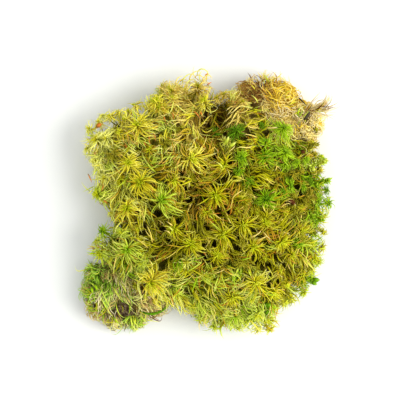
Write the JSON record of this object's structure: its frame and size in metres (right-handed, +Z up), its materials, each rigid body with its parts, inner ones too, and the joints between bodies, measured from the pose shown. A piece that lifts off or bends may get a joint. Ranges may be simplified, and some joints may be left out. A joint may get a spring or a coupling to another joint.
{
  "type": "moss clump",
  "caption": "A domed clump of peat moss: star-shaped heads on a mat of interwoven stems, with a withered tuft and a cushion of finer moss, cut flat underneath.",
  "frame": {"origin": "the middle of the bounding box, at its lowest level, on the flat cut base", "axes": "+Z up out of the moss, +X to the right and +Y to the top as seen from above"},
  "size_m": [0.138, 0.1402, 0.0404],
  "materials": {
    "mat": "matte interwoven stems and hanging branches, olive to dark brown",
    "head": "matte to slightly waxy leafy branches, yellow-green with pale and orange tips",
    "withered": "dry papery strands, brown to golden tan",
    "fine_moss": "matte feathery strands, green over brown, with soil between them",
    "sprig": "slightly waxy small leaves, green",
    "grass": "smooth grass blade, dark green",
    "dead": "dry dark needle"
  },
  "bodies": {
    "root": {"mat": "mat", "moss_head_01": "head", "moss_head_02": "head", "moss_head_03": "head", "moss_head_04": "head", "moss_head_05": "head", "moss_head_06": "head", "moss_head_07": "head", "moss_head_08": "head", "moss_head_09": "head", "moss_head_10": "head", "moss_head_11": "head", "moss_head_12": "head", "moss_head_13": "head", "moss_head_14": "head", "moss_head_15": "head", "moss_head_16": "head", "moss_head_17": "head", "moss_head_18": "head", "moss_head_19": "head", "moss_head_20": "head", "moss_head_21": "head", "moss_head_22": "head", "moss_head_23": "head", "moss_head_24": "head", "moss_head_25": "head", "moss_head_26": "head", "moss_head_27": "head", "moss_head_28": "head", "moss_head_29": "head", "moss_head_30": "head", "moss_head_31": "head", "moss_head_32": "head", "moss_head_33": "head", "moss_head_34": "head", "moss_head_35": "head", "moss_head_36": "head", "moss_head_37": "head", "moss_head_38": "head", "moss_head_39": "head", "moss_head_40": "head", "moss_head_41": "head", "moss_head_42": "head", "moss_head_43": "head", "moss_head_44": "head", "moss_head_45": "head", "withered_tuft": "withered", "dry_sprig": "withered", "fine_moss": "fine_moss", "sprig_1": "sprig", "sprig_2": "sprig", "sprig_3": "sprig", "sprig_4": "sprig", "grass_blade": "grass", "needle": "dead"}
  },
  "joints": []
}
